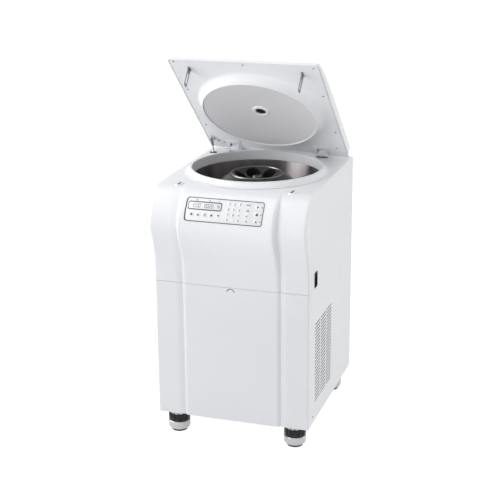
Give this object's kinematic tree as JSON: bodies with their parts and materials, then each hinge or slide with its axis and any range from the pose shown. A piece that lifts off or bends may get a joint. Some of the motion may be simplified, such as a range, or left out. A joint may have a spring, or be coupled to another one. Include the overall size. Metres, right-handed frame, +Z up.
{
  "type": "refrigerated centrifuge",
  "caption": "Floor-standing refrigerated lab centrifuge: bulged front, raised bowl mouth, rotor, hinged lid held open by a gas strut, levelling feet.",
  "frame": {"origin": "on the floor under the middle of the machine", "axes": "+Z up, +X to the right of someone who faces the machine, +Y to its rear"},
  "size_m": [0.5577, 0.668, 1.3221],
  "materials": {
    "white_coat": "smooth white powder coat",
    "white_plastic": "satin white moulding",
    "liner_white": "satin off-white",
    "dish_grey": "satin grey",
    "stainless": "brushed",
    "dark_steel": "dark satin",
    "zinc_plate": "zinc plated",
    "light_metal": "light grey satin",
    "copper": "bare copper",
    "foam": "foam",
    "black_plastic": "matt black",
    "rubber": "matt black",
    "board_green": "circuit board",
    "rotor_black": "black anodised",
    "box_grey": "light grey",
    "fin_metal": "bare fins",
    "clear": "clear",
    "panel_grey": "printed foil",
    "window_grey": "grey display window"
  },
  "bodies": {
    "cabinet": {"base_plate": "zinc_plate", "corner_post_front_left": "zinc_plate", "corner_post_front_right": "zinc_plate", "corner_post_rear_left": "zinc_plate", "corner_post_rear_right": "zinc_plate", "front_top_rail": "zinc_plate", "hinge_beam": "zinc_plate", "motor_shelf": "zinc_plate", "left_side_panel": "white_coat", "right_side_panel": "white_coat", "rear_panel": "white_coat", "top_cover": "white_plastic", "lower_front_cover": "white_plastic", "bowl_collar": "white_plastic", "chamber_bowl": "stainless", "evaporator_coil": "copper", "insulation_jacket": "foam", "guard_ring": "dark_steel", "motor_housing": "dark_steel", "motor_mounts": "rubber", "drive_boot": "rubber", "compressor": "dark_steel", "condenser": "fin_metal", "fan_shroud": "black_plastic", "refrigerant_line": "copper", "power_box": "box_grey", "power_inlet": "black_plastic", "switch_bezel": "black_plastic", "control_panel": "panel_grey", "display_window": "window_grey", "control_board": "board_green", "latch_case_left": "dark_steel", "latch_case_right": "dark_steel", "foot_cup_front_left": "light_metal", "foot_cup_front_right": "light_metal", "foot_cup_rear_left": "light_metal", "foot_cup_rear_right": "light_metal"},
    "lid": {"lid_shell": "white_plastic", "lid_liner": "liner_white", "lid_dish": "dish_grey", "sight_port": "white_plastic", "sight_glass": "clear", "hinge_leaf_left": "stainless", "hinge_leaf_right": "stainless", "striker_left": "stainless", "striker_right": "stainless", "strut_bracket": "dark_steel"},
    "strut_rod": {"strut_rod": "stainless"},
    "strut_tube": {"strut_tube": "dark_steel"},
    "spindle": {"drive_shaft": "stainless", "rotor_body": "rotor_black", "rotor_nut": "dark_steel"},
    "fan": {"condenser_fan": "black_plastic"},
    "rocker": {"switch_rocker": "black_plastic"},
    "latch_bolt_left": {"latch_bolt_left": "stainless"},
    "latch_bolt_right": {"latch_bolt_right": "stainless"},
    "foot_ring_front_left": {"foot_ring_front_left": "black_plastic"},
    "foot_ring_front_right": {"foot_ring_front_right": "black_plastic"},
    "foot_ring_rear_left": {"foot_ring_rear_left": "black_plastic"},
    "foot_ring_rear_right": {"foot_ring_rear_right": "black_plastic"}
  },
  "joints": [
    {"name": "lid_hinge", "type": "hinge", "parent": "cabinet", "child": "lid", "pos_m": [0, 0.30052, 0.9541], "axis": [1, 0, 0], "range_deg": [0, 42.4]},
    {"name": "strut_rod_pivot", "type": "hinge", "parent": "lid", "child": "strut_rod", "pos_m": [-0.242, 0.24222, 0.95981], "axis": [1, 0, 0], "range_deg": [-43.6, 0]},
    {"name": "strut_tube_slide", "type": "slide", "parent": "strut_rod", "child": "strut_tube", "axis": [0, -0.1741, 0.9847], "range_m": [0, 0.0423]},
    {"name": "spindle_spin", "type": "hinge", "parent": "cabinet", "child": "spindle", "pos_m": [0, 0.02962, 0.9], "axis": [0, 0, 1], "continuous": true},
    {"name": "fan_spin", "type": "hinge", "parent": "cabinet", "child": "fan", "pos_m": [0.22, -0.07038, 0.2173], "axis": [1, 0, 0], "continuous": true},
    {"name": "rocker_tilt", "type": "hinge", "parent": "cabinet", "child": "rocker", "pos_m": [0.275, -0.18538, 0.602], "axis": [0, 1, 0], "range_deg": [-16, 0]},
    {"name": "latch_bolt_right_slide", "type": "slide", "parent": "cabinet", "child": "latch_bolt_right", "axis": [-1, 0, 0], "range_m": [0, 0.014]},
    {"name": "latch_bolt_left_slide", "type": "slide", "parent": "cabinet", "child": "latch_bolt_left", "axis": [1, 0, 0], "range_m": [0, 0.014]},
    {"name": "foot_ring_front_left_turn", "type": "hinge", "parent": "cabinet", "child": "foot_ring_front_left", "pos_m": [-0.216, -0.22638, 0.0529], "axis": [0, 0, 1], "range_deg": [0, 360]},
    {"name": "foot_ring_front_right_turn", "type": "hinge", "parent": "cabinet", "child": "foot_ring_front_right", "pos_m": [0.216, -0.22638, 0.0529], "axis": [0, 0, 1], "range_deg": [0, 360]},
    {"name": "foot_ring_rear_left_turn", "type": "hinge", "parent": "cabinet", "child": "foot_ring_rear_left", "pos_m": [-0.216, 0.27762, 0.0529], "axis": [0, 0, 1], "range_deg": [0, 360]},
    {"name": "foot_ring_rear_right_turn", "type": "hinge", "parent": "cabinet", "child": "foot_ring_rear_right", "pos_m": [0.216, 0.27762, 0.0529], "axis": [0, 0, 1], "range_deg": [0, 360]}
  ],
  "couplings": [
    {"joint": "strut_rod_pivot", "follows": "lid_hinge", "ratio": -1.0277},
    {"joint": "strut_tube_slide", "follows": "lid_hinge", "m_per_rad": 0.056924},
    {"joint": "latch_bolt_left_slide", "follows": "latch_bolt_right_slide", "ratio": 1}
  ]
}
